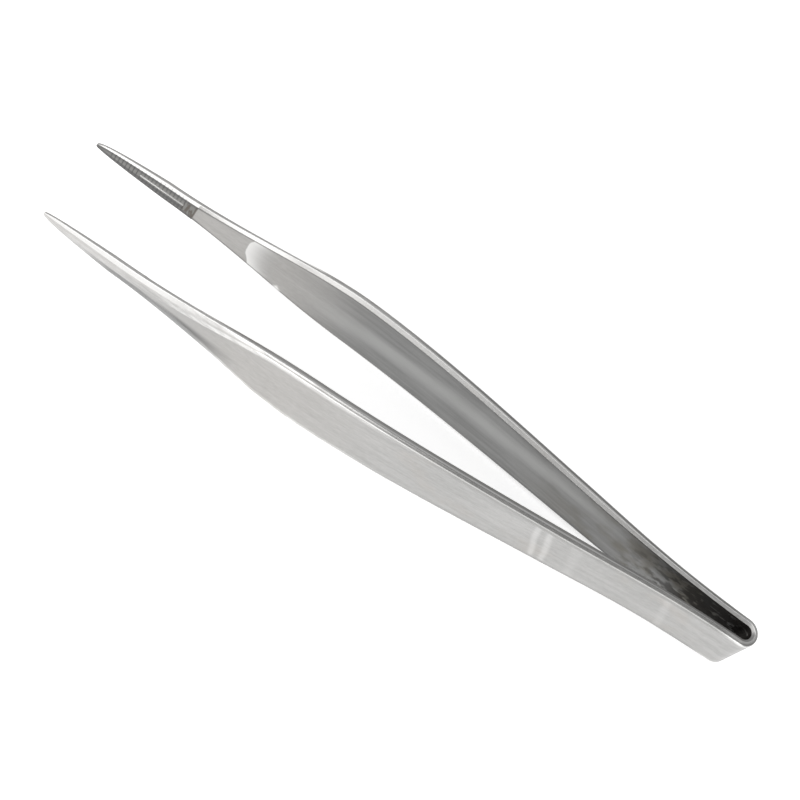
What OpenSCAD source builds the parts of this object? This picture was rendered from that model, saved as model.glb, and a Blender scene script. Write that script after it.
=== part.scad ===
// Fine-point precision tweezers: one folded spring strip, split at its two flexures.
// Millimetres. X runs from the heel to the points, Y across the gap, Z along the strip's width.
// The origin is below the middle of the bounding box, on the plane of the arms' lowest edges.

/* [Overall] */
// Length from the heel's outside to the points
overall_length = 115; // [90:1:160]
// Distance from the heel's outside to each arm's flexure
flexure_distance = 11.5; // [8:0.5:20]

/* [Heel bow] */
// Inside radius of the folded heel
bow_inner_radius = 1.15; // [0.6:0.05:2.5]
// Strip thickness round the fold
bow_thickness = 1.05; // [0.6:0.05:1.6]
// Strip width at the heel
heel_width = 9.6; // [6:0.1:12]
// How far each leg leans outwards where it leaves the fold, in degrees
flare_angle = 1.0; // [0:0.1:6]

/* [Arms] */
// Clear gap between the arms at the belly, where the spread is widest
belly_gap = 13.8; // [8:0.1:24]
// Strip width at the belly
belly_width = 12.2; // [9:0.1:18]
// Strip thickness through the middle of an arm
arm_thickness = 1.4; // [0.9:0.05:2.2]
// Depth of the hollow ground along an arm's inner face
hollow_depth = 0.14; // [0:0.01:0.4]
// Width of the rounded bevel along the outer edges, across the thickness
edge_bevel = 0.5; // [0.1:0.05:0.8]
// Height of the same bevel, along the strip's width
edge_bevel_height = 0.28; // [0.1:0.02:1.2]

/* [Points] */
// Clear gap between the two points at rest
tip_gap = 13.4; // [6:0.1:24]
// Length of the pointed end, where an arm narrows for the last time
point_length = 11.5; // [8:0.5:30]
// Width of an arm where the pointed end starts
shank_width = 4.1; // [2:0.1:6]
// Thickness of an arm where the pointed end starts
shank_thickness = 1.0; // [0.6:0.05:1.6]
// Width of the very end of a point
point_width = 0.34; // [0.1:0.02:1]
// Thickness of the very end of a point
point_thickness = 0.18; // [0.08:0.02:0.6]

/* [Jaw faces] */
// Length of the ground jaw face, back from the point
jaw_length = 16.5; // [10:0.5:30]
// Height by which the jaw face stands proud of the arm
jaw_rise = 0.08; // [0.02:0.01:0.2]
// Length of the plain pad at the back of the jaw face
jaw_pad_length = 2.0; // [1:0.1:5]
// Plain length left in front of the serrations
point_margin = 2.0; // [1:0.1:5]
// Pitch of the serrations
serration_pitch = 0.6; // [0.4:0.05:1.5]
// Depth of the serrations
serration_depth = 0.04; // [0.02:0.01:0.2]
// Width of the groove along the middle of each jaw face
groove_width = 0.5; // [0.3:0.05:1.5]
// Depth of the same groove
groove_depth = 0.12; // [0.04:0.01:0.3]

/* [Hidden] */

bow_outer_radius = bow_inner_radius + bow_thickness;
half_length = overall_length / 2;
mid_height = belly_width / 2;

// Stations along the length, measured from the heel's outside
fold_end = bow_outer_radius;
heel_flat_end = 0.14 * overall_length;
thick_start = 0.10 * overall_length;
thick_end = 0.28 * overall_length;
belly_start = 0.595 * overall_length;
belly_end = 0.615 * overall_length;
belly_middle = 0.66 * overall_length;
point_start = overall_length - point_length;
ridge_start = 0.67 * overall_length;
hollow_start = 0.10 * overall_length;
hollow_full = 0.24 * overall_length;
hollow_fade = 0.72 * overall_length;
jaw_start = overall_length - jaw_length;
jaw_step = 0.05;
serration_start = jaw_start + jaw_pad_length;
serration_end = overall_length - point_margin;
groove_start = serration_start;
groove_end = overall_length - 0.44 * jaw_length;

// Shares of the section that shape the bevels, the ridge and the narrowed inner face
bevel_limit = 0.48;
bevel_bulge = 0.35;
bevel_split = 0.5;
ridge_split = 0.66;
ridge_share = 0.30;
ridge_crown = 0.10;
inset_min = 0.05;
inset_max = 0.20;
waist_min = 0.42;
waist_max = 0.20;
hollow_shoulder = 0.75;

// The point closes in along a rounded ogive
point_power = 0.48;
station_power = 1.6;

leg_steps = 4;
arm_steps = 60;
point_steps = 22;
cut_tip = 0.02;
round_facets = 96;

function clamp01(s) = min(1, max(0, s));
function share(x, a, b) = clamp01((x - a) / (b - a));
function smooth(s) = s * s * (3 - 2 * s);
function ease(x, a, b, va, vb) = va + (vb - va) * smooth(share(x, a, b));
function hermite(s, a, b, ma) = a * (1 - smooth(s)) + b * smooth(s) + ma * s * (1 - s) * (1 - s);
function point_share(x) = pow(1 - share(x, point_start, overall_length), point_power);

// Half the clear gap: a spring curve to the belly, then almost straight to the point
function half_gap(x) =
    x < belly_middle
    ? hermite(share(x, fold_end, belly_middle), bow_inner_radius, belly_gap / 2,
              tan(flare_angle) * (belly_middle - fold_end))
    : ease(x, belly_middle, overall_length, belly_gap / 2, tip_gap / 2);

// The ground jaw face stands proud of the rest of the inner face by a small step
function jaw_face(x) = half_gap(x) - jaw_rise * share(x, jaw_start, jaw_start + jaw_step);

function half_width(x) =
    x < belly_start ? ease(x, heel_flat_end, belly_start, heel_width, belly_width) / 2
    : x < point_start ? ease(x, belly_end, point_start, belly_width, shank_width) / 2
    : (point_width + (shank_width - point_width) * point_share(x)) / 2;

function thickness(x) =
    x < belly_start ? ease(x, thick_start, thick_end, bow_thickness, arm_thickness)
    : x < point_start ? ease(x, belly_start, point_start, arm_thickness, shank_thickness)
    : point_thickness + (shank_thickness - point_thickness) * point_share(x);

function hollow(x) =
    hollow_depth * smooth(share(x, hollow_start, hollow_full)) * (1 - smooth(share(x, hollow_fade, jaw_start)));

// The outer bevels grow towards the point until they meet in a half-round ridge
function ridge(x) = smooth(share(x, ridge_start, point_start));
function bevel_across(x) =
    let (plain = min(edge_bevel, bevel_limit * thickness(x)))
    plain + (ridge_share * thickness(x) - plain) * ridge(x);
function bevel_down(x) =
    let (plain = min(edge_bevel_height, bevel_limit * half_width(x)))
    plain + ((1 - ridge_crown) * half_width(x) - plain) * ridge(x);
function bevel_middle(x) = bevel_down(x) * (bevel_split + (ridge_split - bevel_split) * ridge(x));
function inner_half_width(x) = half_width(x) * (1 - inset_min - (inset_max - inset_min) * ridge(x));
function waist(x) = thickness(x) * (waist_min + (waist_max - waist_min) * ridge(x));

// One section, anticlockwise in (across, up), from the lower inner corner
function section(x) =
    let (f = jaw_face(x), g = half_gap(x), w = half_width(x), t = thickness(x))
    let (c = hollow(x), a = bevel_across(x), d = bevel_down(x), e = bevel_middle(x))
    let (v = inner_half_width(x), m = waist(x))
    [
        [f, -v],
        [g + m, -w],
        [g + t - a, -w],
        [g + t - a * bevel_bulge, -w + e],
        [g + t, -w + d],
        [g + t, w - d],
        [g + t - a * bevel_bulge, w - e],
        [g + t - a, w],
        [g + m, w],
        [f, v],
        [f + c * hollow_shoulder, v / 2],
        [f + c, 0],
        [f + c * hollow_shoulder, -v / 2]
    ];

// The section's own end face, as triangles between its inner and outer sides
cap_faces = [
    [0, 1, 12], [1, 2, 12], [2, 3, 12], [3, 4, 12],
    [4, 11, 12], [4, 5, 11], [5, 10, 11],
    [5, 6, 10], [6, 7, 10], [7, 8, 10], [8, 9, 10]
];

function leg_stations() = [for (i = [0 : leg_steps]) fold_end + (flexure_distance - fold_end) * i / leg_steps];
function even_stations(a, b, count) = [for (i = [0 : count - 1]) a + (b - a) * i / count];
function arm_stations() = concat(
    even_stations(flexure_distance, jaw_start, arm_steps),
    [jaw_start],
    even_stations(jaw_start + jaw_step, point_start, ceil(point_steps / 4)),
    [for (i = [0 : point_steps]) overall_length - point_length * pow(1 - i / point_steps, station_power)]
);

module loft(stations) {
    n = len(section(stations[0]));
    last = len(stations) - 1;
    points = [for (x = stations) for (p = section(x)) [x, p[0], p[1]]];
    sides = [
        for (k = [0 : last - 1])
            for (i = [0 : n - 1])
                let (j = (i + 1) % n)
                each [
                    [k * n + i, (k + 1) * n + j, k * n + j],
                    [k * n + i, (k + 1) * n + i, (k + 1) * n + j]
                ]
    ];
    far_cap = [for (f = cap_faces) [last * n + f[0], last * n + f[2], last * n + f[1]]];
    polyhedron(points, concat(cap_faces, sides, far_cap), convexity = 6);
}

// Everything below is drawn from the heel's outside, then moved to the shared origin
module place() {
    translate([-half_length, 0, mid_height])
        children();
}

module fold() {
    translate([fold_end, 0, 0])
        rotate([0, 0, 90])
            rotate_extrude(angle = 180, $fn = round_facets)
                polygon(section(fold_end));
}

// Crosswise serrations and one lengthwise V groove, ground into the jaw face
module jaw_cuts() {
    count = floor((serration_end - serration_start) / serration_pitch);
    notch = serration_depth + cut_tip;
    for (i = [0 : count]) {
        x = serration_start + i * serration_pitch;
        translate([x, jaw_face(x), -mid_height])
            linear_extrude(belly_width)
                polygon([[-notch, -cut_tip], [notch, -cut_tip], [0, serration_depth]]);
    }
    translate([groove_start, jaw_face(groove_start), 0])
        rotate([90, 0, 90])
            linear_extrude(groove_end - groove_start)
                polygon([[-groove_depth, -groove_width], [groove_depth, 0], [-groove_depth, groove_width]]);
}

module arm() {
    difference() {
        loft(arm_stations());
        jaw_cuts();
    }
}

module heel_bow() {
    color("silver")
        place() {
            fold();
            loft(leg_stations());
            mirror([0, 1, 0])
                loft(leg_stations());
        }
}

module left_arm() {
    color("silver")
        place()
            arm();
}

module right_arm() {
    color("silver")
        place()
            mirror([0, 1, 0])
                arm();
}

heel_bow();
left_arm();
right_arm();
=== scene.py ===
"""Fine-point precision tweezers: one folded strip of satin steel on a pale table.

Lengths in the shaping functions are millimetres, measured along the strip from the
heel's outside. to_frame() places them in the shared frame, and loft() makes them metres.
"""

import math

import bmesh
import bpy
from mathutils import Matrix, Vector


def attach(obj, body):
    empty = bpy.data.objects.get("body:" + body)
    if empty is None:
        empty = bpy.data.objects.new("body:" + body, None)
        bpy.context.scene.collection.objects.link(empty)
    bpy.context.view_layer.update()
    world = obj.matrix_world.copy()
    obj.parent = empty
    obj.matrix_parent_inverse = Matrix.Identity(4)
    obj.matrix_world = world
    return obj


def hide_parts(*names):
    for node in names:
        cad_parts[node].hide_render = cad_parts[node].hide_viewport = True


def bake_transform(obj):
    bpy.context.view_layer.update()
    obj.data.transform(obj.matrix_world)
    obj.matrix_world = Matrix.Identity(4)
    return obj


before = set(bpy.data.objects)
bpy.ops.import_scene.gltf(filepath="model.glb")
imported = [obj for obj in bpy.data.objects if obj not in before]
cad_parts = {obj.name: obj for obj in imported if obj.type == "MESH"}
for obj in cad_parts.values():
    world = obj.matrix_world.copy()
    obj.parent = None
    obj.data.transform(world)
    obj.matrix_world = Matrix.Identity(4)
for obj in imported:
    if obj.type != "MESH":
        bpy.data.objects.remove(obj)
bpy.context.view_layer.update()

MM = 0.001

# Overall sizes of the strip
LENGTH = 115.0
BOW_INNER_RADIUS = 1.15
BOW_THICKNESS = 1.05
HEEL_WIDTH = 9.6
FLARE_ANGLE = math.radians(1.0)
BELLY_GAP = 13.8
BELLY_WIDTH = 12.2
ARM_THICKNESS = 1.4
HOLLOW_DEPTH = 0.14
EDGE_BEVEL = 0.5
EDGE_BEVEL_HEIGHT = 0.28

# Points
TIP_GAP = 13.4
POINT_LENGTH = 11.5
SHANK_WIDTH = 4.1
SHANK_THICKNESS = 1.0
POINT_WIDTH = 0.34
POINT_THICKNESS = 0.18
POINT_POWER = 0.48

# Ground jaw faces
JAW_LENGTH = 16.5
JAW_RISE = 0.08
JAW_STEP = 0.05
PAD_LENGTH = 2.0
POINT_MARGIN = 2.0
SERRATION_PITCH = 0.6
SERRATION_DEPTH = 0.04
GROOVE_WIDTH = 0.5
GROOVE_DEPTH = 0.12

# Stations along the strip
FOLD_END = BOW_INNER_RADIUS + BOW_THICKNESS
HEEL_FLAT_END = 0.14 * LENGTH
THICK_START = 0.10 * LENGTH
THICK_END = 0.28 * LENGTH
BELLY_START = 0.595 * LENGTH
BELLY_END = 0.615 * LENGTH
BELLY_MIDDLE = 0.66 * LENGTH
POINT_START = LENGTH - POINT_LENGTH
RIDGE_START = 0.67 * LENGTH
HOLLOW_START = 0.10 * LENGTH
HOLLOW_FULL = 0.24 * LENGTH
HOLLOW_FADE = 0.72 * LENGTH
JAW_START = LENGTH - JAW_LENGTH
SERRATION_START = JAW_START + PAD_LENGTH
SERRATION_END = LENGTH - POINT_MARGIN
GROOVE_END = LENGTH - 0.44 * JAW_LENGTH

# Shares of the section
BEVEL_LIMIT = 0.48
BEVEL_BULGE = 0.35
BEVEL_SPLIT = 0.5
RIDGE_SPLIT = 0.66
RIDGE_SHARE = 0.30
RIDGE_CROWN = 0.10
INSET_MIN = 0.05
INSET_MAX = 0.20
WAIST_MIN = 0.42
WAIST_MAX = 0.20

# Where the heel piece hands over to the arms
SEAM = 3.0

# Sides of the section, on the scale that the strip_side attribute carries
INNER_FACE = 0.0
CHAMFER = 0.5
LAND = 1.0
OUTER_FACE = 3.0

# A half section's corners from the inner face outwards: rounding, side and wear.
# The fourth one wears fully where it becomes the point's ridge.
CORNER_REACHES = (0.03, 0.06, 0.09, 0.06, 0.12)
CORNER_SIDES = (0.25, 0.75, 1.5, 2.0, 2.5)
CORNER_WEAR = (0.15, 0.35, 1.0, 0.35, 1.0)
RIDGE_CORNER = 3
CORNER_LIMIT = 0.45
CORNER_STEPS = 4
EDGE_FADE = 0.16
SHARP_ANGLE = math.radians(34)

# Columns of vertices, as shares of the groove, the inner face, a flat and the outer face
GROOVE_SHARES = (0.08, 0.5, 0.94, 1.04)
GROOVE_LIMIT = 0.42
GROOVE_POLISH = 0.9
INNER_SHARES = (0.94, 0.86, 0.76, 0.64, 0.52)
FLAT_SHARES = (0.08, 0.5, 0.92)
OUTER_SHARES = (0.8, 0.6, 0.4, 0.2, 0.0, -0.2, -0.4, -0.6, -0.8)

# Rings of vertices along the strip
SPRING_RINGS = 118
SPRING_END = JAW_START - 0.04
PAD_RINGS = 9
PAD_END = SERRATION_START - 0.15
NEEDLE_LENGTH = 1.9
NEEDLE_RINGS = 26
NEEDLE_POWER = 1.5
CLOSEST_RINGS = 0.004
GROOVE_START_STEP = 0.001
GROOVE_END_STEP = 0.01
FOLD_RINGS = 48

# The rounded end of a point: how far forward each last ring lies, and its size
POINT_ROUNDING = ((0.05, 0.82), (0.08, 0.5))
POINT_END = 0.09
CAP_WEAR = 0.3


def clamp01(share):
    return min(1.0, max(0.0, share))


def share_of(x, a, b):
    return clamp01((x - a) / (b - a))


def smooth(s):
    return s * s * (3 - 2 * s)


def ease(x, a, b, value_a, value_b):
    return value_a + (value_b - value_a) * smooth(share_of(x, a, b))


def point_share(x):
    return (1 - share_of(x, POINT_START, LENGTH)) ** POINT_POWER


def half_gap(x):
    """Half the clear gap: a spring curve out to the belly, then almost straight."""
    if x >= BELLY_MIDDLE:
        return ease(x, BELLY_MIDDLE, LENGTH, BELLY_GAP / 2, TIP_GAP / 2)
    s = share_of(x, FOLD_END, BELLY_MIDDLE)
    lean = math.tan(FLARE_ANGLE) * (BELLY_MIDDLE - FOLD_END)
    return BOW_INNER_RADIUS * (1 - smooth(s)) + BELLY_GAP / 2 * smooth(s) + lean * s * (1 - s) ** 2


def half_width(x):
    if x < BELLY_START:
        return ease(x, HEEL_FLAT_END, BELLY_START, HEEL_WIDTH, BELLY_WIDTH) / 2
    if x < POINT_START:
        return ease(x, BELLY_END, POINT_START, BELLY_WIDTH, SHANK_WIDTH) / 2
    return (POINT_WIDTH + (SHANK_WIDTH - POINT_WIDTH) * point_share(x)) / 2


def thickness(x):
    if x < BELLY_START:
        return ease(x, THICK_START, THICK_END, BOW_THICKNESS, ARM_THICKNESS)
    if x < POINT_START:
        return ease(x, BELLY_START, POINT_START, ARM_THICKNESS, SHANK_THICKNESS)
    return POINT_THICKNESS + (SHANK_THICKNESS - POINT_THICKNESS) * point_share(x)


def hollow(x):
    rise = smooth(share_of(x, HOLLOW_START, HOLLOW_FULL))
    return HOLLOW_DEPTH * rise * (1 - smooth(share_of(x, HOLLOW_FADE, JAW_START)))


def ridge(x):
    """0 where the edges are only broken, 1 where they meet in the point's ridge."""
    return smooth(share_of(x, RIDGE_START, POINT_START))


def inner_half_width(x):
    return half_width(x) * (1 - INSET_MIN - (INSET_MAX - INSET_MIN) * ridge(x))


def serration_cut(x):
    """Depth of the crosswise notches at one station."""
    if x < SERRATION_START - SERRATION_DEPTH or x > SERRATION_END:
        return 0.0
    nearest = round((x - SERRATION_START) / SERRATION_PITCH)
    place = SERRATION_START + nearest * SERRATION_PITCH
    if place > SERRATION_END:
        return 0.0
    return max(0.0, SERRATION_DEPTH - abs(x - place))


def corner(before, at, after, reach):
    """A rounded corner as CORNER_STEPS points, held inside both its sides."""
    a, b, c = Vector(before), Vector(at), Vector(after)
    r = min(reach, CORNER_LIMIT * (a - b).length, CORNER_LIMIT * (c - b).length)
    first = b + (a - b).normalized() * r
    last = b + (c - b).normalized() * r
    out = []
    for k in range(CORNER_STEPS):
        t = k / (CORNER_STEPS - 1)
        out.append(first * (1 - t) ** 2 + b * 2 * t * (1 - t) + last * t ** 2)
    return out


def half_corners(x):
    """The sharp corners of the upper half section, from the inner face to the outer face."""
    w, t, g, r = half_width(x), thickness(x), half_gap(x), ridge(x)
    face = g - JAW_RISE * share_of(x, JAW_START, JAW_START + JAW_STEP)
    plain_across = min(EDGE_BEVEL, BEVEL_LIMIT * t)
    plain_down = min(EDGE_BEVEL_HEIGHT, BEVEL_LIMIT * w)
    across = plain_across + (RIDGE_SHARE * t - plain_across) * r
    down = plain_down + ((1 - RIDGE_CROWN) * w - plain_down) * r
    middle = down * (BEVEL_SPLIT + (RIDGE_SPLIT - BEVEL_SPLIT) * r)
    waist = t * (WAIST_MIN + (WAIST_MAX - WAIST_MIN) * r)
    return face, [
        (face + serration_cut(x), inner_half_width(x)),
        (g + waist, w),
        (g + t - across, w),
        (g + t - across * BEVEL_BULGE, w - middle),
        (g + t, w - down),
    ]


def section(x):
    """One closed section as [(across, up, edge, side)], anticlockwise from the inner middle.

    edge is 1 on a worn corner and 0 away from it. side is 0 on the inner face, 0.5 on the
    inner chamfer, 1 on the land, 1.5 to 2.5 on the outer bevel and 3 on the outer face.
    """
    face, corners = half_corners(x)
    v = inner_half_width(x)
    r = ridge(x)
    groove = GROOVE_DEPTH if SERRATION_START < x < GROOVE_END else 0.0
    half_groove = min(GROOVE_WIDTH / 2, GROOVE_LIMIT * v)

    def inner(z):
        depth = max(serration_cut(x), groove * (1 - abs(z) / half_groove))
        return face + hollow(x) * (1 - (z / v) ** 2) + depth

    upper = []
    columns = [0.0] + [half_groove * s for s in GROOVE_SHARES]
    columns += [v * s for s in reversed(INNER_SHARES)]
    for z in columns:
        in_groove = groove and z < GROOVE_POLISH * half_groove
        upper.append((inner(z), z, 1.0 if in_groove else 0.0, INNER_FACE))
    outermost, top = corners[-1]
    around = [(inner(v / 2), v / 2)] + corners + [(outermost, -top)]
    for k in range(len(corners)):
        bend = corner(around[k], around[k + 1], around[k + 2], CORNER_REACHES[k])
        wear = CORNER_WEAR[k]
        if k == RIDGE_CORNER:
            wear += (1 - wear) * r
        for place in bend:
            upper.append((place.x, place.y, wear, CORNER_SIDES[k]))
        if k < 2:
            ahead = corner(around[k + 1], around[k + 2], around[k + 3], CORNER_REACHES[k + 1])[0]
            for s in FLAT_SHARES:
                place = bend[-1].lerp(ahead, s)
                upper.append((place.x, place.y, 0.0, (CHAMFER, LAND)[k]))
    crown = upper[-1][1]
    outer = [(outermost, crown * s, 0.0, OUTER_FACE) for s in OUTER_SHARES]
    lower = [(y, -z, e, side) for y, z, e, side in reversed(upper[1:])]
    return upper + outer + lower


def with_edges(ring):
    """Spreads the corners' edge value along the section, so that wear fades out."""
    run = [0.0]
    for k, (y, z, _, _) in enumerate(ring):
        ahead = ring[(k + 1) % len(ring)]
        run.append(run[-1] + math.hypot(ahead[0] - y, ahead[1] - z))
    girth = run[-1]
    corners = [(run[k], e) for k, (_, _, e, side) in enumerate(ring) if e > 0 and side > INNER_FACE]
    out = []
    for k, (y, z, own, side) in enumerate(ring):
        edge = own if side == INNER_FACE else 0.0
        for place, wear in corners:
            gap = abs(run[k] - place)
            gap = min(gap, girth - gap)
            edge = max(edge, wear * math.exp(-gap / EDGE_FADE))
        out.append((y, z, edge, side))
    return out


def serration_stations():
    out = []
    x = SERRATION_START
    while x < SERRATION_END:
        out += [x + SERRATION_DEPTH * s for s in (-1, -0.5, 0, 0.5, 1)]
        out += [x + SERRATION_PITCH * s for s in (0.4, 0.6)]
        x += SERRATION_PITCH
    return out


def arm_stations():
    """Stations of one arm: even along the spring, close together over the jaw."""
    spring = SPRING_RINGS - 1
    out = [SEAM + (SPRING_END - SEAM) * k / spring for k in range(SPRING_RINGS)]
    out += [JAW_START + JAW_STEP * k for k in range(3)]
    pad_start = JAW_START + 2 * JAW_STEP
    out += [pad_start + (PAD_END - pad_start) * k / PAD_RINGS for k in range(1, PAD_RINGS)]
    out += serration_stations()
    out = [x for x in out if x < LENGTH - NEEDLE_LENGTH]
    out += [SERRATION_START + GROOVE_START_STEP, GROOVE_END - GROOVE_END_STEP, GROOVE_END + GROOVE_END_STEP]
    for k in range(NEEDLE_RINGS + 1):
        out.append(LENGTH - POINT_END - NEEDLE_LENGTH * (1 - k / NEEDLE_RINGS) ** NEEDLE_POWER)
    out.sort()
    kept = [out[0]]
    for x in out[1:]:
        if x - kept[-1] > CLOSEST_RINGS:
            kept.append(x)
    return kept


def to_frame(x, across, up, side):
    """A place on the strip in the shared frame, in millimetres."""
    return Vector((x - LENGTH / 2, across * side, up + BELLY_WIDTH / 2))


def strip_ring(x, side, along=None, turn=None):
    """The section at x as (place, edge, side, place on the strip) vertices.

    turn swings it round the fold, from the left leg at 0 to the right one at pi.
    """
    ring = []
    for across, up, edge, face in with_edges(section(x)):
        if turn is None:
            place = to_frame(x, across, up, side)
        else:
            place = to_frame(x - across * math.sin(turn), across * math.cos(turn), up, side)
        on_strip = (x if along is None else along, across - half_gap(x), up)
        ring.append((place, edge, face, on_strip))
    return ring


def set_attribute(mesh, name, kind, values):
    field = "vector" if kind == "FLOAT_VECTOR" else "value"
    mesh.attributes.new(name, kind, "POINT").data.foreach_set(field, values)


def middle_of(ring):
    return sum((vertex[0] for vertex in ring), Vector()) / len(ring)


def loft(name, rings):
    """A closed mesh in metres through rings of vertices, with both its ends capped."""
    count = len(rings[0])
    last = (len(rings) - 1) * count
    vertices = [vertex for ring in rings for vertex in ring]
    faces = []
    for base in range(0, last, count):
        for i in range(count):
            j = (i + 1) % count
            faces.append((base + i, base + j, base + count + j, base + count + i))
    for ring, base, order in ((rings[0], 0, -1), (rings[-1], last, 1)):
        hub = len(vertices)
        vertices.append((middle_of(ring), CAP_WEAR, LAND, ring[0][3]))
        for i in range(count):
            rim = (base + i, base + (i + 1) % count)
            faces.append((hub,) + rim[::order])
    mesh = bpy.data.meshes.new(name)
    mesh.from_pydata([tuple(vertex[0] * MM) for vertex in vertices], [], faces)
    set_attribute(mesh, "worn_edge", "FLOAT", [vertex[1] for vertex in vertices])
    set_attribute(mesh, "strip_side", "FLOAT", [vertex[2] for vertex in vertices])
    set_attribute(mesh, "strip_place", "FLOAT_VECTOR", [n for vertex in vertices for n in vertex[3]])
    widths = [inner_half_width(min(abs(vertex[3][0]), LENGTH)) for vertex in vertices]
    set_attribute(mesh, "inner_half_width", "FLOAT", widths)
    mesh.update()
    mesh.validate()
    return mesh


def make_piece(name, rings, material):
    """A lofted piece with outward normals, smooth faces and crisp corners."""
    mesh = loft(name, rings)
    work = bmesh.new()
    work.from_mesh(mesh)
    bmesh.ops.recalc_face_normals(work, faces=work.faces)
    for face in work.faces:
        face.smooth = True
    work.to_mesh(mesh)
    work.free()
    mesh.set_sharp_from_angle(angle=SHARP_ANGLE)
    mesh.materials.append(material)
    piece = bpy.data.objects.new(name, mesh)
    bpy.context.scene.collection.objects.link(piece)
    return piece


def make_arm(name, side, material):
    rings = [strip_ring(x, side) for x in arm_stations()]
    last = rings[-1]
    middle = middle_of(last)
    for forward, size in POINT_ROUNDING:
        push = Vector((forward, 0, 0))
        rings.append([(middle + (vertex[0] - middle) * size + push,) + vertex[1:] for vertex in last])
    return make_piece(name, rings, material)


def make_heel(name, material):
    """The fold and the first of both legs, from the left seam round to the right one."""
    leg = (SEAM, (SEAM + FOLD_END) / 2)
    rings = [strip_ring(x, 1) for x in leg]
    for k in range(FOLD_RINGS + 1):
        turn = math.pi * k / FOLD_RINGS
        rings.append(strip_ring(FOLD_END, 1, FOLD_END * math.cos(turn), turn))
    rings += [strip_ring(x, -1, -x) for x in reversed(leg)]
    return make_piece(name, rings, material)


# ---------------------------------------------------------------- node helpers


def new_group(name, inputs, outputs):
    """A group of float inputs and outputs, apart from the place on the strip."""
    tree = bpy.data.node_groups.new(name, "ShaderNodeTree")
    for label in inputs:
        kind = "NodeSocketVector" if label == "Strip Place" else "NodeSocketFloat"
        tree.interface.new_socket(name=label, in_out="INPUT", socket_type=kind)
    for label in outputs:
        tree.interface.new_socket(name=label, in_out="OUTPUT", socket_type="NodeSocketFloat")
    start = tree.nodes.new("NodeGroupInput").outputs
    end = tree.nodes.new("NodeGroupOutput").inputs
    return tree, start, end


def math_node(tree, operation, a, b=None):
    node = tree.nodes.new("ShaderNodeMath")
    node.operation = operation
    for socket, value in zip(node.inputs, (a, b)):
        if isinstance(value, (int, float)):
            socket.default_value = value
        elif value is not None:
            tree.links.new(value, socket)
    return node.outputs[0]


def chain(tree, operation, values):
    result = values[0]
    for value in values[1:]:
        result = math_node(tree, operation, result, value)
    return result


def product(tree, *values):
    return chain(tree, "MULTIPLY", values)


def total(tree, *values):
    return chain(tree, "ADD", values)


def largest(tree, *values):
    return chain(tree, "MAXIMUM", values)


def distance(tree, value, place):
    return math_node(tree, "ABSOLUTE", math_node(tree, "SUBTRACT", value, place))


def ramp(tree, value, span, start, end):
    """A smooth step from start to end as the value crosses the span."""
    node = tree.nodes.new("ShaderNodeMapRange")
    node.interpolation_type = "SMOOTHSTEP"
    tree.links.new(value, node.inputs["Value"])
    for label, number in zip(("From Min", "From Max", "To Min", "To Max"), (*span, start, end)):
        node.inputs[label].default_value = number
    return node.outputs["Result"]


def rising(tree, value, span, top=1.0):
    return ramp(tree, value, span, 0.0, top)


def falling(tree, value, span, top=1.0):
    return ramp(tree, value, span, top, 0.0)


def noise_node(tree, place, scale, detail, roughness):
    node = tree.nodes.new("ShaderNodeTexNoise")
    tree.links.new(place, node.inputs["Vector"])
    node.inputs["Scale"].default_value = scale
    node.inputs["Detail"].default_value = detail
    node.inputs["Roughness"].default_value = roughness
    return node.outputs["Fac"]


def strip_noise(tree, place, per_mm, detail, roughness=0.55):
    """Noise with its own scale per millimetre along, across and up the strip."""
    node = tree.nodes.new("ShaderNodeVectorMath")
    node.operation = "MULTIPLY"
    tree.links.new(place, node.inputs[0])
    node.inputs[1].default_value = per_mm
    return noise_node(tree, node.outputs[0], 1.0, detail, roughness)


def along_and_up(tree, place):
    split = tree.nodes.new("ShaderNodeSeparateXYZ")
    tree.links.new(place, split.inputs[0])
    return split.outputs["X"], split.outputs["Z"]


def mix_colour(tree, amount, a, b):
    node = tree.nodes.new("ShaderNodeMix")
    node.data_type = "RGBA"
    for socket, value in ((node.inputs[0], amount), (node.inputs[6], a), (node.inputs[7], b)):
        if isinstance(value, tuple):
            socket.default_value = value + (1.0,)
        else:
            tree.links.new(value, socket)
    return node.outputs[2]


# ----------------------------------------------------------- effects of the steel

LINE_NOISE = (1.1, 11.0, 11.0)
STREAK_NOISE = (0.09, 1.3, 1.3)
PIT_NOISE = (7.0, 9.0, 9.0)


def make_grain_group():
    """Fine satin lines that run along the strip, and the slower streaks between them."""
    tree, start, end = new_group("satin grain", ["Strip Place"], ["Lines", "Streaks", "Grain Height"])
    place = start["Strip Place"]
    lines = strip_noise(tree, place, LINE_NOISE, 3.0, 0.6)
    pits = strip_noise(tree, place, PIT_NOISE, 2.0)
    tree.links.new(lines, end["Lines"])
    tree.links.new(strip_noise(tree, place, STREAK_NOISE, 3.0), end["Streaks"])
    tree.links.new(total(tree, product(tree, lines, 0.5), product(tree, pits, 0.5)), end["Grain Height"])
    return tree


WEAR_NOISE = (0.5, 2.0, 2.0)
WORN_EDGE = (0.25, 0.95)
WEAR_GAPS = (0.25, 0.7)
LEAST_WEAR = 0.45


def make_edge_group():
    """Polish along the worn corners, broken up so that it is not one even line."""
    tree, start, end = new_group("worn edges", ["Strip Place", "Edge"], ["Wear"])
    broken = strip_noise(tree, start["Strip Place"], WEAR_NOISE, 3.0)
    held = rising(tree, start["Edge"], WORN_EDGE)
    tree.links.new(product(tree, held, ramp(tree, broken, WEAR_GAPS, LEAST_WEAR, 1.0)), end["Wear"])
    return tree


# Painted highlight bands across the outer faces, where the strip bends: place along the strip, reach and
# strength
BEND_HIGHLIGHT_BANDS = ((34.4, 0.7, 1.0), (32.5, 0.8, 1.0), (28.4, 1.3, 0.35), (13.2, 0.9, 0.45))
BAND_LEAN = 0.28
BAND_CORE = 0.15
BAND_NOISE = (0.3, 0.1, 0.12)
CLOUD_NOISE = (0.16, 0.22, 0.22)


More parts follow.
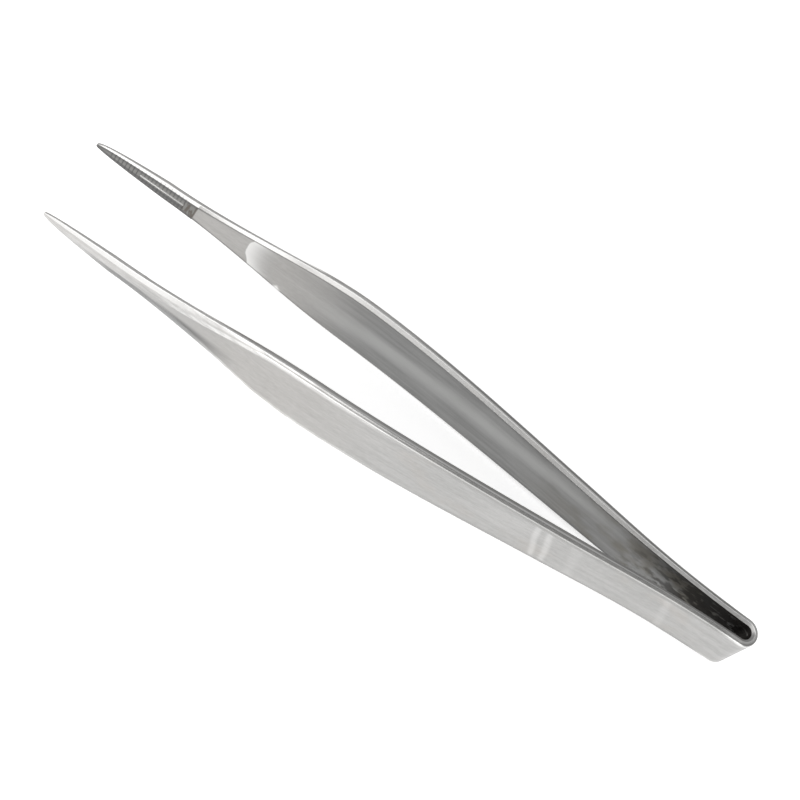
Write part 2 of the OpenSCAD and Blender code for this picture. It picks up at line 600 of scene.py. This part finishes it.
def make_smudge_and_bend_highlight_group():
    """Soft cloudy marks from handling, and painted highlight bands across the legs where the strip bends.
    """
    tree, start, end = new_group("handling marks and bend highlights", ["Strip Place"], ["Clouds", "Bend Highlights"])
    place = start["Strip Place"]
    along, up = along_and_up(tree, place)
    wander = strip_noise(tree, place, BAND_NOISE, 2.0)
    along = total(tree, math_node(tree, "ABSOLUTE", along), wander, product(tree, up, -BAND_LEAN))
    bands = []
    for middle, reach, strength in BEND_HIGHLIGHT_BANDS:
        bands.append(falling(tree, distance(tree, along, middle), (BAND_CORE * reach, reach), strength))
    tree.links.new(strip_noise(tree, place, CLOUD_NOISE, 3.0), end["Clouds"])
    tree.links.new(largest(tree, *bands), end["Bend Highlights"])
    return tree


SCALE_NOISE = (0.42, 0.85, 0.85)
SCALE_REACH = (2.0, 27.0)
SCALE_GATHER = 0.19
SCALE_PATCHES = (0.54, 0.65)


def make_scale_group():
    """Dark scale left inside the fold, thinning out along the legs."""
    tree, start, end = new_group("forging scale", ["Strip Place"], ["Scale Mask"])
    along, _ = along_and_up(tree, start["Strip Place"])
    near_heel = falling(tree, math_node(tree, "ABSOLUTE", along), SCALE_REACH)
    blotches = strip_noise(tree, start["Strip Place"], SCALE_NOISE, 4.0, 0.6)
    patchy = rising(tree, total(tree, blotches, product(tree, near_heel, SCALE_GATHER)), SCALE_PATCHES)
    tree.links.new(product(tree, patchy, near_heel), end["Scale Mask"])
    return tree


HOLLOW_NOISE = (0.05, 0.3, 0.3)

# The painted sheen: a light line down the hollow that stands for its reflection, and crosses from above the
# middle to below it
SHEEN_CROSSING = (25.0, 80.0)
SHEEN_HIGH = 0.45
SHEEN_LOW = -0.15
SHEEN_WOBBLE = 0.6
SHEEN_WIDTH = (0.05, 0.55)
SHEEN_START = (18.0, 36.0)
SHEEN_END = (78.0, 88.0)
# Where the painted shade on the inner face between the arms fades out
SHADE_END = (66.0, 86.0)

# The painted highlight patch near the jaw, where the inner face bends
HIGHLIGHT_PATCH_BOW = 0.6
HIGHLIGHT_PATCH_WOBBLE = 1.6
HIGHLIGHT_PATCH_LEAN = 0.15
HIGHLIGHT_PATCH_EDGE = (90.5, 90.8)
HIGHLIGHT_PATCH_RISE = (84.4, 91.2)
HIGHLIGHT_PATCH_TOP = 0.95

# Painted shade: a dark line along the inner face's edges, wider over the jaw and along the lower edge
RIM_WIDTH = (0.12, 0.42)
JAW_RIM = (94.0, 100.0)
JAW_RIM_SCALE = 0.5
LOW_RIM_WIDTH = (0.15, 0.75)
LOW_RIM_END = (38.0, 60.0)

# The burnished nick on the inner face's lower edge
NICK_ALONG = 83.4
NICK_UP = -4.3
NICK_SIZE = (0.2, 1.1)


def make_hollow_group():
    """Painted light and shade on the ground inner face: a painted sheen line, a painted highlight patch
    near the jaw, painted shade over the spring and along the edges, and a burnished nick.
    """
    tree, start, end = new_group(
        "ground hollow", ["Strip Place", "Half Width"], ["Sheen", "Shade", "Highlight Patch", "Rim Shade", "Nick"]
    )
    place, half = start["Strip Place"], start["Half Width"]
    along, up = along_and_up(tree, place)
    wobble = strip_noise(tree, place, HOLLOW_NOISE, 2.0)
    share = math_node(tree, "DIVIDE", up, half)

    # The painted sheen down the hollow
    middle = ramp(tree, along, SHEEN_CROSSING, SHEEN_HIGH, SHEEN_LOW)
    shake = product(tree, math_node(tree, "SUBTRACT", wobble, 0.5), SHEEN_WOBBLE)
    sheen = falling(tree, total(tree, distance(tree, share, middle), shake), SHEEN_WIDTH)
    sheen = product(tree, sheen, rising(tree, along, SHEEN_START), falling(tree, along, SHEEN_END))
    tree.links.new(sheen, end["Sheen"])
    # Painted shade on the inner face between the arms, out to the jaw
    tree.links.new(falling(tree, along, SHADE_END), end["Shade"])

    # The painted highlight patch, bowed across the inner face
    bow = product(tree, share, share, HIGHLIGHT_PATCH_BOW)
    front = total(tree, along, bow, product(tree, wobble, HIGHLIGHT_PATCH_WOBBLE), product(tree, up, -HIGHLIGHT_PATCH_LEAN))
    soft = rising(tree, front, HIGHLIGHT_PATCH_RISE, HIGHLIGHT_PATCH_TOP)
    tree.links.new(product(tree, falling(tree, front, HIGHLIGHT_PATCH_EDGE), soft), end["Highlight Patch"])

    # Painted shade along the inner face's edges
    gap = math_node(tree, "SUBTRACT", half, math_node(tree, "ABSOLUTE", up))
    gap = product(tree, gap, ramp(tree, along, JAW_RIM, 1.0, JAW_RIM_SCALE))
    low_rim = falling(tree, total(tree, half, up), LOW_RIM_WIDTH)
    low_rim = product(tree, low_rim, falling(tree, along, LOW_RIM_END))
    tree.links.new(largest(tree, falling(tree, gap, RIM_WIDTH), low_rim), end["Rim Shade"])

    nick = total(tree, distance(tree, along, NICK_ALONG), distance(tree, up, NICK_UP))
    tree.links.new(falling(tree, nick, NICK_SIZE), end["Nick"])
    return tree


JAW_EDGE = (JAW_START - 0.05, JAW_START + 0.15)
# The painted shadow line below the groove, and the darker notches
JAW_LINE_SHARE = -0.44
JAW_LINE_WIDTH = (0.08, 0.30)
NOTCH_DARKENING = (0.30, 0.46)
NOTCH_DARKENING_TOP = 0.8
NOTCHES_START = (SERRATION_START - 0.3, SERRATION_START)
NOTCHES_END = (SERRATION_END - 0.4, SERRATION_END + 0.2)
PAD_RISE = (JAW_START - 0.2, JAW_START + 0.1)
PAD_FALL = (SERRATION_START - 0.2, SERRATION_START + 0.3)
SCRATCH_NOISE = (2.4, 0.3, 0.5)
SCRATCHES = (0.42, 0.54)


def make_jaw_group():
    """The ground jaw face, darker in its notches, painted shadow below its groove, and the scratched pad.
    """
    tree, start, end = new_group(
        "jaw face", ["Strip Place", "Half Width"], ["Jaw", "Jaw Shade", "Pad Marks"]
    )
    place = start["Strip Place"]
    along, up = along_and_up(tree, place)
    tree.links.new(rising(tree, along, JAW_EDGE), end["Jaw"])

    # Painted shadow below the groove, and darker notches
    share = math_node(tree, "DIVIDE", up, start["Half Width"])
    line = falling(tree, distance(tree, share, JAW_LINE_SHARE), JAW_LINE_WIDTH)
    turn = math_node(tree, "DIVIDE", math_node(tree, "SUBTRACT", along, SERRATION_START), SERRATION_PITCH)
    notch = rising(tree, distance(tree, math_node(tree, "FRACT", turn), 0.5), NOTCH_DARKENING, NOTCH_DARKENING_TOP)
    notch = product(tree, notch, falling(tree, along, NOTCHES_END))
    shade = product(tree, largest(tree, line, notch), rising(tree, along, NOTCHES_START))
    tree.links.new(shade, end["Jaw Shade"])

    on_pad = product(tree, rising(tree, along, PAD_RISE), falling(tree, along, PAD_FALL))
    scratches = rising(tree, strip_noise(tree, place, SCRATCH_NOISE, 2.0), SCRATCHES)
    tree.links.new(product(tree, on_pad, scratches), end["Pad Marks"])
    return tree


# Spans of the strip_side scale over which one side hands over to the next
INNER_FACE_END = (0.05, 0.25)
CHAMFER_START = (0.2, 0.4)
CHAMFER_END = (0.6, 0.8)
LAND_REACH = (0.15, 0.5)
BEVEL_START = (1.2, 1.5)
UPPER_BEVEL_END = (1.90, 1.97)
FLANK_START = (1.97, 2.05)
OUTER_FACE_START = (2.5, 2.9)
BEVEL_END = (2.6, 2.9)
UPPER_HALF = (0.0, 0.4)
LOWER_HALF = (-0.05, -0.5)


def make_sides_group():
    """Masks of the section's sides. The lowest and uppermost parts are told by height."""
    tree, start, end = new_group(
        "strip sides",
        ["Strip Place", "Half Width", "Side"],
        ["Inside", "Chamfer", "Land", "Bevel", "Upper Bevel", "Lower Bevel", "Flank", "Outside"],
    )
    side = start["Side"]
    _, up = along_and_up(tree, start["Strip Place"])
    share = math_node(tree, "DIVIDE", up, start["Half Width"])
    past_land = rising(tree, side, BEVEL_START)
    upper = product(tree, past_land, falling(tree, side, UPPER_BEVEL_END), rising(tree, share, UPPER_HALF))
    masks = {
        "Inside": falling(tree, side, INNER_FACE_END),
        "Chamfer": product(tree, rising(tree, side, CHAMFER_START), falling(tree, side, CHAMFER_END)),
        "Land": falling(tree, distance(tree, side, LAND), LAND_REACH),
        "Bevel": product(tree, past_land, falling(tree, side, BEVEL_END)),
        "Upper Bevel": upper,
        "Lower Bevel": product(tree, past_land, rising(tree, share, LOWER_HALF)),
        "Flank": rising(tree, side, FLANK_START),
        "Outside": rising(tree, side, OUTER_FACE_START),
    }
    for label, mask in masks.items():
        tree.links.new(mask, end[label])
    return tree


EFFECTS = [
    make_grain_group(),
    make_edge_group(),
    make_smudge_and_bend_highlight_group(),
    make_scale_group(),
    make_hollow_group(),
    make_jaw_group(),
    make_sides_group(),
]

# ------------------------------------------------------------------------- steel

STEEL_LIGHT = (0.375, 0.371, 0.365)
STEEL_DEEP = (0.315, 0.312, 0.306)
STEEL_WARM = (0.372, 0.35, 0.328)
# Polished steel, also laid on as painted highlights: bend bands, the patch near the jaw, lands, chamfers,
# the fold and the point
POLISH_AND_HIGHLIGHT_STEEL = (0.80, 0.795, 0.785)
# The inner face's ground steel, darkened as painted shade between the arms
STEEL_INSIDE = (0.21, 0.21, 0.207)
# Inner streaks, and the painted sheen down the hollow
STREAK_AND_SHEEN_STEEL = (0.36, 0.36, 0.355)
# Painted shade on the bevels
BEVEL_SHADE_STEEL = (0.23, 0.228, 0.222)
JAW_GREY = (0.20, 0.196, 0.186)
JAW_BROWN = (0.10, 0.085, 0.07)
# Painted shade and shadow: along the inner face's edges, below the jaw's groove and under the point; also
# the darker notches
PAINTED_SHADE_DARK = (0.10, 0.10, 0.10)
SCALE_DARK = (0.045, 0.040, 0.036)
SCALE_BROWN = (0.15, 0.135, 0.105)

# Spans of the noises
STREAK_SPAN = (0.3, 0.7)
LINE_SPAN = (0.35, 0.65)
WARM_CLOUDS = (0.52, 0.75)
BROWN_CLOUDS = (0.42, 0.62)
ROUGH_LINES = (0.3, 0.7)
ROUGH_CLOUDS = (0.4, 0.7)

# Stretches of the strip over which a tone comes or goes
WARM_BELLY = (52.0, 78.0)
BROWN_LEGS = (12.0, 44.0)
# Where the painted shade on the bevels and flanks, and the painted highlights on the lands and chamfers,
# come and go
BEVEL_SHADE_SPAN = (45.0, 72.0)
FLANK_SHADE_START = (82.0, 94.0)
FLANK_SHADE_END = (98.0, 104.0)
LAND_THINS = (80.0, 96.0)
BRIGHT_CHAMFER = (40.0, 75.0)
NEAR_POINT = (82.0, 98.0)
# The painted highlight round the fold's corners
FOLD_HIGHLIGHT_SPAN = (1.5, 7.0)
BELLY_WEAR = (48.0, 76.0)
SHANK_WEAR = (88.0, 99.0)
SHADOW_START = (80.0, 92.0)
SHADOW_END = (102.0, 110.0)

# How strongly each tone is laid on. A pair runs from the start of its stretch to the end.
WARM_CLOUD_TONE = 0.5
WARM_BELLY_TONE = 0.35
BEND_HIGHLIGHT_TONE = 0.24
LINE_TONE = 0.16
INNER_STREAK_TONE = 0.35
BROWN_TONE = 0.75
JAW_TONE = 0.75
JAW_SHADE_TONE = 0.85
PAD_TONE = 0.85
RIM_SHADE_TONE = 0.75
BEVEL_SHADE_TONE = 0.6
LAND_HIGHLIGHT_TONES = (0.8, 0.5)
CHAMFER_HIGHLIGHT_TONES = (0.05, 0.45)
SHADOW_TONE = 0.85
SHADOW_TONES = (1.0, 0.25)

# How strongly each part of the strip is polished; the point's upper bevel and chamfer and the fold also
# carry painted highlight
UPPER_FACET_POLISH_AND_HIGHLIGHT = 0.75
CHAMFER_POLISH_AND_HIGHLIGHT = 0.4
SHANK_POLISH = 0.22
FOLD_HIGHLIGHT_TONE = 0.9
BELLY_POLISH = (0.1, 0.8)
SHANK_WEAR_KEPT = (1.0, 0.45)
INNER_WEAR_POLISH = 0.9

# Roughness of the satin lines, and what clouds, wear and scale add to it
LINE_ROUGHNESS = (0.29, 0.37)
CLOUD_ROUGHNESS = 0.06
WEAR_ROUGHNESS = -0.10
SCALE_ROUGHNESS = 0.3

GRAIN_STRENGTH = 0.2
GRAIN_DEPTH = 0.00002


def strip_value(tree, name, output):
    node = tree.nodes.new("ShaderNodeAttribute")
    node.attribute_name = name
    return node.outputs[output]


def surface_tones(tree):
    """The outputs of every effect by name, each effect fed with the strip's own values."""
    feeds = {
        "Strip Place": strip_value(tree, "strip_place", "Vector"),
        "Edge": strip_value(tree, "worn_edge", "Fac"),
        "Half Width": strip_value(tree, "inner_half_width", "Fac"),
        "Side": strip_value(tree, "strip_side", "Fac"),
    }
    tones = {"Along": along_and_up(tree, feeds["Strip Place"])[0]}
    for effect in EFFECTS:
        node = tree.nodes.new("ShaderNodeGroup")
        node.node_tree = effect
        for socket in node.inputs:
            tree.links.new(feeds[socket.name], socket)
        for socket in node.outputs:
            tones[socket.name] = socket
    return tones


def outer_colour(tree, tones):
    """Satin steel with slow streaks, warm clouds, painted highlight bands where the strip bends and fine
    light lines.
    """
    colour = mix_colour(tree, rising(tree, tones["Streaks"], STREAK_SPAN), STEEL_DEEP, STEEL_LIGHT)
    warm_clouds = rising(tree, tones["Clouds"], WARM_CLOUDS, WARM_CLOUD_TONE)
    warm = largest(tree, warm_clouds, rising(tree, tones["Along"], WARM_BELLY, WARM_BELLY_TONE))
    colour = mix_colour(tree, warm, colour, STEEL_WARM)
    # Painted highlights: light bands across the outer faces where the strip bends
    bands = product(tree, tones["Bend Highlights"], tones["Outside"], BEND_HIGHLIGHT_TONE)
    colour = mix_colour(tree, bands, colour, POLISH_AND_HIGHLIGHT_STEEL)
    return mix_colour(tree, rising(tree, tones["Lines"], LINE_SPAN, LINE_TONE), colour, POLISH_AND_HIGHLIGHT_STEEL)


def inner_colour(tree, tones):
    """The ground inner face darkened as painted shade between the arms, brown near the fold, with its
    painted sheen and highlight patch and the jaw face at its end.
    """
    streaks = rising(tree, tones["Streaks"], STREAK_SPAN, INNER_STREAK_TONE)
    colour = mix_colour(tree, streaks, STEEL_INSIDE, STREAK_AND_SHEEN_STEEL)
    brown = rising(tree, tones["Clouds"], BROWN_CLOUDS)
    brown = product(tree, brown, falling(tree, tones["Along"], BROWN_LEGS, BROWN_TONE))
    colour = mix_colour(tree, brown, colour, SCALE_BROWN)
    # The painted sheen down the hollow
    colour = mix_colour(tree, tones["Sheen"], colour, STREAK_AND_SHEEN_STEEL)
    # The painted highlight patch near the jaw
    colour = mix_colour(tree, tones["Highlight Patch"], colour, POLISH_AND_HIGHLIGHT_STEEL)
    colour = mix_colour(tree, product(tree, tones["Jaw"], JAW_TONE), colour, JAW_GREY)
    colour = mix_colour(tree, product(tree, tones["Jaw Shade"], JAW_SHADE_TONE), colour, PAINTED_SHADE_DARK)
    return mix_colour(tree, product(tree, tones["Pad Marks"], PAD_TONE), colour, JAW_BROWN)


def with_inner_face(tree, tones, colour):
    inside = tones["Inside"]
    # The darker inner colour goes on under the painted shade, the painted highlight patch and the jaw face
    ground = largest(tree, tones["Shade"], tones["Highlight Patch"], tones["Jaw"])
    colour = mix_colour(tree, product(tree, inside, ground), colour, inner_colour(tree, tones))
    # Painted shade along the inner face's edges
    colour = mix_colour(tree, product(tree, tones["Rim Shade"], inside, RIM_SHADE_TONE), colour, PAINTED_SHADE_DARK)
    return mix_colour(tree, product(tree, tones["Nick"], inside), colour, POLISH_AND_HIGHLIGHT_STEEL)


def with_bevel_shade_and_edge_highlights(tree, tones, colour):
    """Painted shade on the bevels along the spring and beside the shank, and painted highlights on the
    lands and chamfers.
    """
    along = tones["Along"]
    # Painted shade on the bevels along the spring and on the flanks beside the shank
    spring = product(tree, tones["Bevel"], falling(tree, along, BEVEL_SHADE_SPAN, BEVEL_SHADE_TONE))
    shank = product(tree, rising(tree, along, FLANK_SHADE_START), falling(tree, along, FLANK_SHADE_END))
    shank = product(tree, shank, tones["Flank"], BEVEL_SHADE_TONE)
    colour = mix_colour(tree, largest(tree, spring, shank), colour, BEVEL_SHADE_STEEL)
    # Painted highlights on the lands, and on the chamfers, more towards the point
    land = product(tree, tones["Land"], ramp(tree, along, LAND_THINS, *LAND_HIGHLIGHT_TONES))
    colour = mix_colour(tree, land, colour, POLISH_AND_HIGHLIGHT_STEEL)
    chamfer = product(tree, tones["Chamfer"], ramp(tree, along, BRIGHT_CHAMFER, *CHAMFER_HIGHLIGHT_TONES))
    return mix_colour(tree, chamfer, colour, POLISH_AND_HIGHLIGHT_STEEL)


def polish_mask(tree, tones):
    """Polish and painted highlight on the point's facets, painted highlight round the fold's corners, wear
    polish of the belly's corners, and polish of the groove.
    """
    along, inside, wear = tones["Along"], tones["Inside"], tones["Wear"]
    elsewhere = math_node(tree, "SUBTRACT", 1.0, largest(tree, inside, tones["Land"]))
    # Polish of the point, with painted highlight on its upper bevel and its chamfer
    point = largest(
        tree,
        product(tree, tones["Upper Bevel"], UPPER_FACET_POLISH_AND_HIGHLIGHT),
        product(tree, tones["Chamfer"], CHAMFER_POLISH_AND_HIGHLIGHT),
        product(tree, elsewhere, SHANK_POLISH),
    )
    point = product(tree, point, rising(tree, along, NEAR_POINT))
    # Painted highlight round the fold's corners, and wear polish along the belly
    fold_highlight = falling(tree, math_node(tree, "ABSOLUTE", along), FOLD_HIGHLIGHT_SPAN, FOLD_HIGHLIGHT_TONE)
    worn = largest(tree, fold_highlight, ramp(tree, along, BELLY_WEAR, *BELLY_POLISH))
    worn = product(tree, worn, ramp(tree, along, SHANK_WEAR, *SHANK_WEAR_KEPT))
    return largest(tree, point, product(tree, wear, worn), product(tree, inside, wear, INNER_WEAR_POLISH))


def with_shadow_under_point(tree, tones, colour):
    along = tones["Along"]
    shadow = product(tree, rising(tree, along, SHADOW_START), ramp(tree, along, SHADOW_END, *SHADOW_TONES))
    shadow = product(tree, tones["Lower Bevel"], shadow, SHADOW_TONE)
    return mix_colour(tree, shadow, colour, PAINTED_SHADE_DARK)


def make_steel(name):
    material = bpy.data.materials.new(name)
    material.use_nodes = True
    tree = material.node_tree
    shader = tree.nodes["Principled BSDF"]
    tones = surface_tones(tree)
    scale = product(tree, tones["Scale Mask"], tones["Inside"])

    colour = with_inner_face(tree, tones, outer_colour(tree, tones))
    colour = with_bevel_shade_and_edge_highlights(tree, tones, colour)
    colour = mix_colour(tree, polish_mask(tree, tones), colour, POLISH_AND_HIGHLIGHT_STEEL)
    colour = with_shadow_under_point(tree, tones, colour)
    tree.links.new(mix_colour(tree, scale, colour, SCALE_DARK), shader.inputs["Base Color"])

    rough = total(
        tree,
        ramp(tree, tones["Lines"], ROUGH_LINES, *LINE_ROUGHNESS),
        rising(tree, tones["Clouds"], ROUGH_CLOUDS, CLOUD_ROUGHNESS),
        product(tree, tones["Wear"], WEAR_ROUGHNESS),
        product(tree, scale, SCALE_ROUGHNESS),
    )
    tree.links.new(rough, shader.inputs["Roughness"])
    shader.inputs["Metallic"].default_value = 1.0

    bump = tree.nodes.new("ShaderNodeBump")
    bump.inputs["Strength"].default_value = GRAIN_STRENGTH
    bump.inputs["Distance"].default_value = GRAIN_DEPTH
    tree.links.new(tones["Grain Height"], bump.inputs["Height"])
    tree.links.new(bump.outputs["Normal"], shader.inputs["Normal"])
    return material


# ------------------------------------------------------------------------ pieces

heel_finish = make_steel("satin heel steel")
arm_finish = make_steel("satin arm steel")

heel_fold = make_heel("heel_fold", heel_finish)
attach(heel_fold, "heel_bow")
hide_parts("heel_bow")

for side_name, side in (("left", 1), ("right", -1)):
    strip = make_arm(side_name + "_spring_arm", side, arm_finish)
    arm_body = side_name + "_arm"
    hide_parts(arm_body)
    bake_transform(strip)

# ------------------------------------------------------------------------- table

TABLE_REACH = 3.0
TABLE_GLOW = 0.55
TABLE_SHADES = ((0.90, 0.90, 0.90), (0.92, 0.92, 0.92))
TABLE_MOTTLE = 30.0
TABLE_ROUGHNESS = 0.8
TABLE_SPECULAR = 0.1
WHITE = (1.0, 1.0, 1.0, 1.0)


def make_table():
    """A pale matt table top that glows a little, so that it stays white under soft light."""
    material = bpy.data.materials.new("pale table")
    material.use_nodes = True
    tree = material.node_tree
    shader = tree.nodes["Principled BSDF"]
    where = tree.nodes.new("ShaderNodeTexCoord").outputs["Object"]
    mottle = noise_node(tree, where, TABLE_MOTTLE, 2.0, 0.55)
    tree.links.new(mix_colour(tree, mottle, *TABLE_SHADES), shader.inputs["Base Color"])
    shader.inputs["Roughness"].default_value = TABLE_ROUGHNESS
    shader.inputs["Specular IOR Level"].default_value = TABLE_SPECULAR
    shader.inputs["Emission Color"].default_value = WHITE
    shader.inputs["Emission Strength"].default_value = TABLE_GLOW
    mesh = bpy.data.meshes.new("table_top")
    corners = [(x * TABLE_REACH, y * TABLE_REACH, 0) for x, y in ((-1, -1), (1, -1), (1, 1), (-1, 1))]
    mesh.from_pydata(corners, [], [(0, 1, 2, 3)])
    mesh.materials.append(material)
    top = bpy.data.objects.new("table_top", mesh)
    bpy.context.scene.collection.objects.link(top)


# ----------------------------------------------------------------- light and view

# Places and sizes of the panels in metres, and their power in watts
FRONT_PANEL = {"place": (0.0, 0.85, 0.52), "target": (0.0, 0.0, 0.52), "size": (1.6, 1.0), "power": 9.0}
TOP_PANEL = {"place": (0.2, 0.15, 1.1), "target": (0.0, 0.0, 0.0), "size": (0.8, 0.8), "power": 3.0}
ROOM_LIGHT = 0.45


def make_light(name, place, target, size, power):
    """A soft panel that faces its target."""
    light = bpy.data.lights.new(name, "AREA")
    light.shape = "RECTANGLE"
    light.size, light.size_y = size
    light.energy = power
    panel = bpy.data.objects.new(name, light)
    panel.location = place
    panel.rotation_euler = (Vector(place) - Vector(target)).to_track_quat("Z", "Y").to_euler()
    bpy.context.scene.collection.objects.link(panel)


def make_room():
    world = bpy.data.worlds.new("white room")
    world.use_nodes = True
    background = world.node_tree.nodes["Background"]
    background.inputs["Color"].default_value = WHITE
    background.inputs["Strength"].default_value = ROOM_LIGHT
    scene = bpy.context.scene
    scene.world = world
    scene.view_settings.view_transform = "Standard"
    scene.view_settings.look = "None"


make_table()
make_light("front panel", **FRONT_PANEL)
make_light("top panel", **TOP_PANEL)
make_room()

# The camera's turn round the tweezers, its height and roll, and where it sees the heel:
# to the right, up and ahead of it, in lengths of the tweezers
VIEW_TURN = math.radians(-12.54)
VIEW_HEIGHT = math.radians(59.96)
VIEW_ROLL = math.radians(45.99)
HEEL_IN_VIEW = Vector((0.5149, 0.0899, 2.6135)) * LENGTH * MM
LENS = 94.9
FILM = 36.0
NEAREST = 0.01


def make_camera():
    turn_c, turn_s = math.cos(VIEW_TURN), math.sin(VIEW_TURN)
    high_c, high_s = math.cos(VIEW_HEIGHT), math.sin(VIEW_HEIGHT)
    level = Vector((-turn_c, -turn_s, 0))
    rise = Vector((turn_s * high_s, -turn_c * high_s, high_c))
    ahead = Vector((turn_s * high_c, -turn_c * high_c, -high_s))
    heel = to_frame(0, 0, 0, 1) * MM
    right = level * math.cos(VIEW_ROLL) + rise * math.sin(VIEW_ROLL)
    up = -level * math.sin(VIEW_ROLL) + rise * math.cos(VIEW_ROLL)
    data = bpy.data.cameras.new("product camera")
    data.lens = LENS
    data.sensor_width = FILM
    data.clip_start = NEAREST
    camera = bpy.data.objects.new("product camera", data)
    camera.matrix_world = Matrix((right, up, -ahead)).transposed().to_4x4()
    camera.location = heel - level * HEEL_IN_VIEW.x - rise * HEEL_IN_VIEW.y - ahead * HEEL_IN_VIEW.z
    bpy.context.scene.collection.objects.link(camera)
    bpy.context.scene.camera = camera


make_camera()
